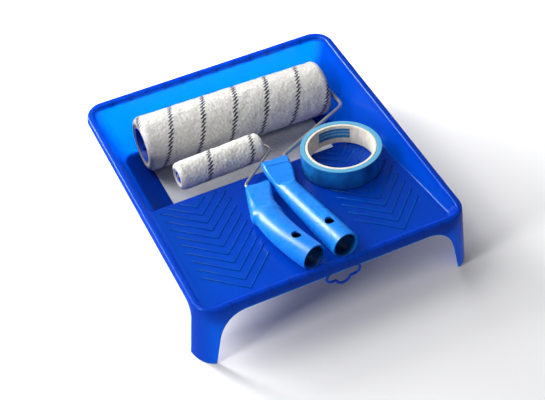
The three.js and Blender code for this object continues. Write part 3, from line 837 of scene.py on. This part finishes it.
def build_pile(roller, material):
    """The sleeve's pile: a dense turned body whose surface is pushed in and out in tufts."""
    around = roller["pile_grid"][1]
    place = axle_place(roller)
    profile = pile_profile(roller)
    inner = profile[0][0]
    points, wind, run = [], [], []
    for i, (c, s) in enumerate(circle(around)):
        for r, along in profile:
            spot = Vector((along, r * c, r * s))
            if r > inner + 0.1:
                spot = tufted(spot, Vector((0, c, s)), roller["seed"])
            points.append(place @ spot)
            wind.append(i / around)
            run.append(along)
    name = roller["name"]
    pile = make_object(f"{name}_roller_pile_knit", points, turned_faces(around, len(profile)))
    store(pile, wind=wind, along=run)
    fit_out(pile, f"{name}_roller_sleeve", "pile_fabric", material, f"{name}_roller_pile")


def build_plugs(roller, material):
    """The dished end plugs, with rounded edges and radial ribs in the dish."""
    name = roller["name"]
    mouth = roller["core"] - roller["core_wall"] - 0.3
    bore = roller["wire"] + 0.5
    hub, inside = bore + HUB_WALL, mouth - PLUG_WALL
    dish, depth = roller["core"] * PLUG_DISH, roller["core"] * 0.8
    corners = [
        (bore, dish - 2), (hub, dish - 2), (hub, dish), (inside, dish), (inside, 0),
        (mouth, 0), (mouth, depth), (inside, depth), (inside, dish + PLUG_WALL),
        (hub, dish + PLUG_WALL), (hub, depth), (bore, depth),
    ]
    for side, word in ((-1, "left"), (1, "right")):
        start = side * (roller["length"] / 2 - PLUG_RECESS)
        profile = [(r, start - side * h) for r, h in rounded(corners, 0.5, 2)]
        points, faces = lathe(profile, axle_place(roller), 64)
        plug = make_object(f"{name}_roller_{word}_plug_moulding", points, faces)
        add_ribs(plug, roller, side, start, hub, mouth, dish)
        shade_by_angle(plug, 40)
        node = f"{name}_roller_{word}_plug"
        fit_out(plug, f"{name}_roller_sleeve", "plug_plastic", material, node)


def add_ribs(plug, roller, side, start, hub, mouth, dish):
    """Joins thin radial ribs to a plug, from its hub to its outer wall."""
    half = roller["rib_half"]
    outline = [(hub - 0.5, dish + 0.3), (hub - 0.5, dish - 1.8),
               (mouth - 1.2, dish * 0.35), (mouth - 1.2, dish + 0.3)]
    bodies = []
    for k in range(RIB_COUNT):
        place = axle_place(roller) @ Matrix.Rotation(2 * math.pi * k / RIB_COUNT, 4, "X")
        bodies.append(sweep([
            [place @ Vector((start - side * h, r, dy)) for r, h in outline] for dy in (-half, half)
        ]))
    join(plug, make_object("ribs", *gather(bodies)))


def join(target, other):
    """Joins another mesh into the target's own."""
    chosen = [target, other]
    with bpy.context.temp_override(active_object=target, selected_editable_objects=chosen):
        bpy.ops.object.join()


def wire_path(roller):
    """The wire's centreline: along the axle, then round its bends to inside the grip."""
    place = axle_place(roller)
    start = PLUG_RECESS - roller["length"] / 2 + roller["core"] * PLUG_DISH - WIRE_END
    corners = [place @ Vector((start, 0, 0)), place @ Vector((roller["bend_at"], 0, 0))]
    corners += [Vector((x, y, frame_z(roller, y))) for x, y in roller["bends"]]
    path = [corners[0]]
    for before, here, after in zip(corners, corners[1:], corners[2:]):
        path += corner(before, here, after, roller["bend_radius"], BEND_STEPS)
    path.append(corners[-1])
    return path


def tube(path, radius):
    """Rings of points round a path, carried along it without twisting."""
    rings = []
    side = None
    for point, along in zip(path, headings(path)):
        side = side or along.orthogonal().normalized()
        side = (side - along * side.dot(along)).normalized()
        other = along.cross(side)
        rings.append([point + radius * (side * c + other * s) for c, s in circle(WIRE_SIDES)])
    return rings


def build_wire(roller, material):
    name = roller["name"]
    rings = tube(wire_path(roller), roller["wire"])
    wire = make_object(f"{name}_roller_bent_wire", *sweep(rings))
    shade_by_angle(wire, 60)
    fit_out(wire, f"{name}_roller_frame", "wire_steel", material, f"{name}_roller_wire")


def panel_depth(y, across):
    """How deep the shallow panel on top of the large grip is at a point of it."""
    along = smooth_step(PANEL["from"], PANEL["from"] + PANEL["run"], y)
    along *= 1 - smooth_step(PANEL["to"] - PANEL["run"], PANEL["to"], y)
    away = abs(across - PANEL["middle"])
    edge = PANEL["half_width"]
    side = 1 - smooth_step(edge - PANEL_EDGE, edge + PANEL_EDGE, away)
    return PANEL["depth"] * float(along * side)


def grip_stations(roller):
    """A grip's stations, filled in smoothly between those given."""
    stations = np.array(GRIPS[roller["name"]])
    keys = stations[:, 1]
    dense = np.unique(np.concatenate([
        np.linspace(a, b, max(2, int((b - a) / GRIP_STEP) + 2))
        for a, b in zip(keys[:-1], keys[1:])
    ]))
    columns = [eased(dense, keys, stations[:, k]) for k in range(4)]
    columns[1] = dense
    columns.append(np.interp(dense, keys, stations[:, 4]))
    return with_rounded_end(np.stack(columns, axis=1))


def grip_rings(roller):
    """Rings of a grip: round, and cut off flat above and below near its head."""
    tilt = math.atan(roller["slope"])
    values = grip_stations(roller)
    rings = []
    for index, (x, y, half_width, half_height, flat) in enumerate(values.tolist()):
        before, after = values[max(0, index - 1)], values[min(len(values) - 1, index + 1)]
        heading = float(math.atan2(after[0] - before[0], after[1] - before[1]))
        ring = []
        for c, s in circle(GRIP_SIDES):
            across, up = half_width * c, max(-flat, min(flat, half_height * s))
            if roller is LARGE and up > 0:
                up -= panel_depth(y, across)
            ring.append(Vector((
                x + across * math.cos(heading),
                y - across * math.sin(heading) + up * math.sin(tilt),
                frame_z(roller, y) + up * math.cos(tilt),
            )))
        rings.append(ring)
    return rings


def with_rounded_end(values):
    """Adds small rings that round the rear edge of a grip's head."""
    out = list(values)
    for k in range(1, 4):
        angle = math.pi / 2 * k / 3
        shrink = GRIP_EDGE * (1 - math.cos(angle))
        row = values[-1].copy()
        row[1] += GRIP_EDGE * math.sin(angle)
        row[2] -= shrink
        row[4] -= shrink
        out.append(row)
    return np.array(out)


def eased(places, keys, values):
    """Values carried smoothly through their keys, with no overshoot between them."""
    steps = np.diff(keys)
    slopes = np.diff(values) / steps
    before, after = slopes[:-1], slopes[1:]
    same = before * after > 0
    middle = np.where(same, 2 * before * after / np.where(same, before + after, 1.0), 0.0)
    tangents = np.concatenate([[slopes[0]], middle, [slopes[-1]]])
    out = []
    for place in places:
        k = int(np.clip(np.searchsorted(keys, place) - 1, 0, len(steps) - 1))
        t = (place - keys[k]) / steps[k]
        start = (2 * t ** 3 - 3 * t ** 2 + 1) * values[k]
        leaving = (t ** 3 - 2 * t ** 2 + t) * steps[k] * tangents[k]
        end = (3 * t ** 2 - 2 * t ** 3) * values[k + 1]
        arriving = (t ** 3 - t ** 2) * steps[k] * tangents[k + 1]
        out.append(start + leaving + end + arriving)
    return np.array(out)


def along_place(start, direction):
    """A frame whose X axis points along the direction from the start."""
    return Matrix.Translation(start) @ direction.to_track_quat("X", "Z").to_matrix().to_4x4()


def cut(obj, cutter):
    """Takes the cutter's body away from an object."""
    add_modifier(obj, "BOOLEAN", object=cutter, operation="DIFFERENCE", solver="EXACT")
    apply_modifiers(obj)
    bpy.data.objects.remove(cutter)


def open_lathe(profile, place, steps):
    """A body turned about X from an open profile whose two ends lie on the axis."""
    points = [place @ Vector((profile[0][1], 0, 0)), place @ Vector((profile[-1][1], 0, 0))]
    faces = []
    inner = profile[1:-1]
    count = len(inner)
    for c, s in circle(steps):
        points += [place @ Vector((a, r * c, r * s)) for r, a in inner]
    for i in range(steps):
        a, b = 2 + i * count, 2 + ((i + 1) % steps) * count
        faces.append((0, b, a))
        faces.append((1, a + count - 1, b + count - 1))
        faces += [(a + k, b + k, b + k + 1, a + k + 1) for k in range(count - 1)]
    return points, faces


def mark_depth(grip, front, inward, mouth):
    """Stores how deep inside the socket each point of a grip lies, from 0 at its mouth to 1, for
    the shade painted there.
    """
    depths = []
    for vertex in grip.data.vertices:
        point = vertex.co / MM - Vector((0, SHIFT_Y, 0)) - front
        along = point.dot(inward)
        aside = (point - inward * along).length
        inside = aside < mouth + 0.2 and 0.6 < along < SOCKET_SHADE_END
        depths.append(min(1.0, along / SOCKET_SHADE_DEPTH) if inside else 0.0)
    store(grip, socket_depth=depths)


def socket_cutter(front, inward, mouth, depth):
    """The body of the socket's hollow, round the boss at its bottom."""
    profile = [
        (0, -4), (mouth + 1.2, -4), (mouth + 1.2, -0.1), (mouth, 1.2), (mouth - 0.3, 6),
        (mouth - 0.7, 16), (mouth - 1.2, 34), (mouth - 2.2, depth), (BOSS_RADIUS, depth),
        (BOSS_RADIUS - 0.6, depth - BOSS_LENGTH), (0, depth - BOSS_LENGTH),
    ]
    return make_object("cutter", *open_lathe(profile, along_place(front, inward), 64))


def hole_cutter(middle, inward):
    """The body of the hanging hole, which widens where it meets the grip's top."""
    upward = Vector((0, inward.z, -inward.y)).normalized()
    upward = -upward if upward.z < 0 else upward
    wide = HANG_HOLE + 1.2
    profile = [(0, -30), (HANG_HOLE, -30), (HANG_HOLE, 12.6), (wide, 14.6), (wide, 30), (0, 30)]
    return make_object("cutter", *open_lathe(profile, along_place(middle, upward), 48))


def build_handle(roller, material):
    """The grip: its loft, less the socket with its boss, the hanging hole and the wire."""
    name = roller["name"]
    grip = make_object(f"{name}_roller_grip", *sweep(grip_rings(roller)))
    x, y, half_width = GRIPS[name][0][:3]
    front = Vector((x, y, frame_z(roller, y)))
    anchor = roller["anchor"]
    inward = (Vector((*anchor, frame_z(roller, anchor[1]))) - front).normalized()
    mouth = half_width - MOUTH_WALL
    cut(grip, socket_cutter(front, inward, mouth, roller["socket"]))
    cut(grip, hole_cutter(front + inward * roller["hole_at"], inward))
    rings = tube(wire_path(roller), roller["wire"] + 0.3)
    cut(grip, make_object("cutter", *sweep(rings)))
    shade_by_angle(grip, 30)
    add_modifier(grip, "WEIGHTED_NORMAL", keep_sharp=True, weight=60)
    apply_modifiers(grip)
    mark_depth(grip, front, inward, mouth)
    fit_out(grip, f"{name}_roller_frame", "grip_plastic", material, f"{name}_roller_handle")


# ---- Tape and leaflet ----
def tape_place():
    """The frame of the tape roll: its X axis stands square to the ramp."""
    z = EDGE_Z + SLOPE * (EDGE_Y - TAPE["y"]) + TAPE_LIFT
    turn = Matrix.Rotation(RAMP_TILT, 4, "X") @ Matrix.Rotation(math.radians(-90), 4, "Y")
    return Matrix.Translation((TAPE["x"], TAPE["y"], z)) @ turn


def build_ring(name, outer, inner, material, slot, node, edge):
    """A turned ring of the tape roll, with rounded edges and its radii stored."""
    width = TAPE["width"]
    corners = [(inner, 0), (outer, 0), (outer, width), (inner, width)]
    profile = rounded(corners, edge, 4)
    dense = []
    for k, (r, a) in enumerate(profile):
        r2, a2 = profile[(k + 1) % len(profile)]
        steps = max(1, int(math.hypot(r2 - r, a2 - a) / 1.2))
        dense += [(r + (r2 - r) * s / steps, a + (a2 - a) * s / steps) for s in range(steps)]
    points, faces = lathe(dense, tape_place(), TAPE_STEPS)
    ring = make_object(name, points, faces)
    shade_by_angle(ring, 45)
    radii = [r for r, a in dense] * TAPE_STEPS
    at_end = [float((a < 0.3 or a > width - 0.3) and r < outer - 0.25) for r, a in dense]
    store(ring, radius=radii, flat_end=at_end * TAPE_STEPS)
    fit_out(ring, "tape_roll", slot, material, node)


def build_label(material):
    """The label: a thin curved sheet inside the core."""
    place = Matrix.Translation(tape_place().translation) @ Matrix.Rotation(RAMP_TILT, 4, "X")
    points, around, high = [], [], []
    columns, rows = LABEL_GRID
    for radius in LABEL["radii"]:
        for i in range(columns + 1):
            angle = math.radians(LABEL["from"] + LABEL["sweep"] * i / columns)
            x, y = radius * math.cos(angle), radius * math.sin(angle)
            for j in range(rows + 1):
                z = LABEL["bottom"] + LABEL["height"] * j / rows
                points.append(place @ Vector((x, y, z)))
                around.append(i / columns)
                high.append(j / rows)
    layer = (columns + 1) * (rows + 1)
    front = grid_faces(columns + 1, rows + 1)
    faces = [(a, d, c, b) for a, b, c, d in front]
    faces += [tuple(v + layer for v in face) for face in front]
    border = grid_border(columns + 1, rows + 1)
    faces += bridge([v + layer for v in border], border)
    label = make_object("tape_core_label_paper", points, faces)
    shade_by_angle(label, 40)
    store(label, around=around, height=high)
    fit_out(label, "tape_roll", "label_paper", material, "tape_core_label")


def leaflet_height(x, y, u, v, profile):
    """Height of the leaflet's top at a place on it, and at its parts u and v of the way across."""
    wave = 0.35 * noise.noise(Vector((x * 0.02, y * 0.03, 3)))
    crease = 0.5 * math.exp(-((u - 0.34) * 60) ** 2) + 0.4 * math.exp(-((u - 0.67) * 60) ** 2)
    curl = 1.6 * max(0.0, 1 - u * 3.2) ** 2 * max(0.0, 1 - v * 3) ** 2
    low = float(np.interp(y, profile[:, 0], profile[:, 1]))
    free = 1 - float(smooth_step(PRESSED_FROM, PRESSED_TO, y))
    lift = LEAFLET_LIFT + free * (LEAFLET_SLACK + wave + crease) + curl
    return max(FLOOR_Z, low) + lift


def build_leaflet(material):
    """The folded leaflet: a thin sheet that lifts a little at its front corner and its creases."""
    columns, rows = LEAFLET_GRID
    profile = floor_profile()
    top = []
    for i in range(columns + 1):
        for j in range(rows + 1):
            u, v = i / columns, j / rows
            x, y = LEAFLET["x"] + LEAFLET["width"] * u, LEAFLET["y"] + LEAFLET["depth"] * v
            top.append((x, y, leaflet_height(x, y, u, v, profile)))
    sheet = make_object("leaflet_sheet", top, grid_faces(columns + 1, rows + 1))
    add_modifier(sheet, "SOLIDIFY", thickness=LEAFLET["thickness"] * MM, offset=-1.0)
    apply_modifiers(sheet)
    shade_by_angle(sheet, 50)
    fit_out(sheet, "tray", "leaflet_paper", material, "leaflet")


# ---- Stage ----
def build_stage():
    half = FLOOR_HALF
    corners = [(-half, -half, 0), (half, -half, 0), (half, half, 0), (-half, half, 0)]
    mesh = bpy.data.meshes.new("floor")
    mesh.from_pydata(corners, [], [(0, 1, 2, 3)])
    floor = bpy.data.objects.new("floor", mesh)
    floor.location.z = -FLOOR_DROP
    floor.visible_glossy = False
    scene.collection.objects.link(floor)
    n = Nodes("studio_floor")
    n.set(Base_Color=(0.93, 0.93, 0.94, 1), Roughness=0.9)
    mesh.materials.append(n.material)


def area_light(name, place, target, size, power, mirrored):
    data = bpy.data.lights.new(name, "AREA")
    data.shape = "RECTANGLE"
    data.size, data.size_y = size
    data.energy = power
    light = bpy.data.objects.new(name, data)
    light.location = place
    light.visible_glossy = mirrored
    light.rotation_euler = (Vector(target) - Vector(place)).to_track_quat("-Z", "Y").to_euler()
    scene.collection.objects.link(light)


def build_lights():
    for light in LIGHTS:
        area_light(*light)
    world = bpy.data.worlds.new("studio")
    world.use_nodes = True
    background = world.node_tree.nodes["Background"]
    background.inputs["Color"].default_value = (1, 1, 1, 1)
    background.inputs["Strength"].default_value = WORLD_STRENGTH
    scene.world = world


def build_camera():
    data = bpy.data.cameras.new("camera")
    data.lens = CAMERA_LENS
    data.sensor_width = CAMERA_SENSOR
    camera = bpy.data.objects.new("camera", data)
    axes = [Vector(v).normalized() for v in (CAMERA_RIGHT, CAMERA_DOWN, CAMERA_FORWARD)]
    turn = Matrix((axes[0], -axes[1], -axes[2])).transposed().to_4x4()
    camera.matrix_world = Matrix.Translation(CAMERA_PLACE) @ turn
    scene.collection.objects.link(camera)
    scene.camera = camera


# ---- Assembly ----
def cad_piece(node, material):
    """A CAD node that keeps its own shape and gets a detailed material."""
    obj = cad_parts[node]
    obj.data.materials.clear()
    obj.data.materials.append(material)


def main():
    scene.view_settings.view_transform = "Standard"
    tray = tray_plastic("tray_plastic", (0.0, 0.027, 0.34), (0.0, 0.032, 0.39))
    # A lighter copy of the tray's plastic for the chevron ridges: a painted highlight where the
    # ridges catch the light.
    ridge = tray_plastic("ridge_plastic_painted_highlight", (0.0, 0.05, 0.52), (0.0, 0.06, 0.60))
    plug = moulded_plastic("plug_plastic", (0.002, 0.06, 0.55), (0.003, 0.09, 0.68), 0.3, 0.3)
    grip = moulded_plastic("grip_plastic", (0.003, 0.165, 0.64), (0.006, 0.20, 0.74), 0.30, 0.12)
    metal, card, core_card = steel(), cardboard(), cardboard()
    build_tray(tray, ridge)
    build_leaflet(leaflet_paper())
    for roller in (LARGE, MINI):
        fabric = pile_fabric(f"{roller['name']}_pile_fabric", roller["thread"])
        build_pile(roller, fabric)
    for roller in (LARGE, MINI):
        build_plugs(roller, plug)
        build_wire(roller, metal)
        build_handle(roller, grip)
        name = roller["name"]
        cad_piece(f"{name}_roller_core", core_card)
        cad_piece(f"{name}_roller_push_nut", metal)
        cad_piece(f"{name}_roller_stop_washer", plug)
    outer, core, bore = TAPE["outer"], TAPE["core"], TAPE["bore"]
    build_ring("tape_core_ring", core, bore, card, "tape_cardboard", "tape_core", 0.6)
    build_ring("tape_wound", outer, core + 0.3, tape_paper(), "tape_paper", "tape_winding", 0.4)
    build_label(label_paper())
    build_stage()
    build_lights()
    build_camera()


main()
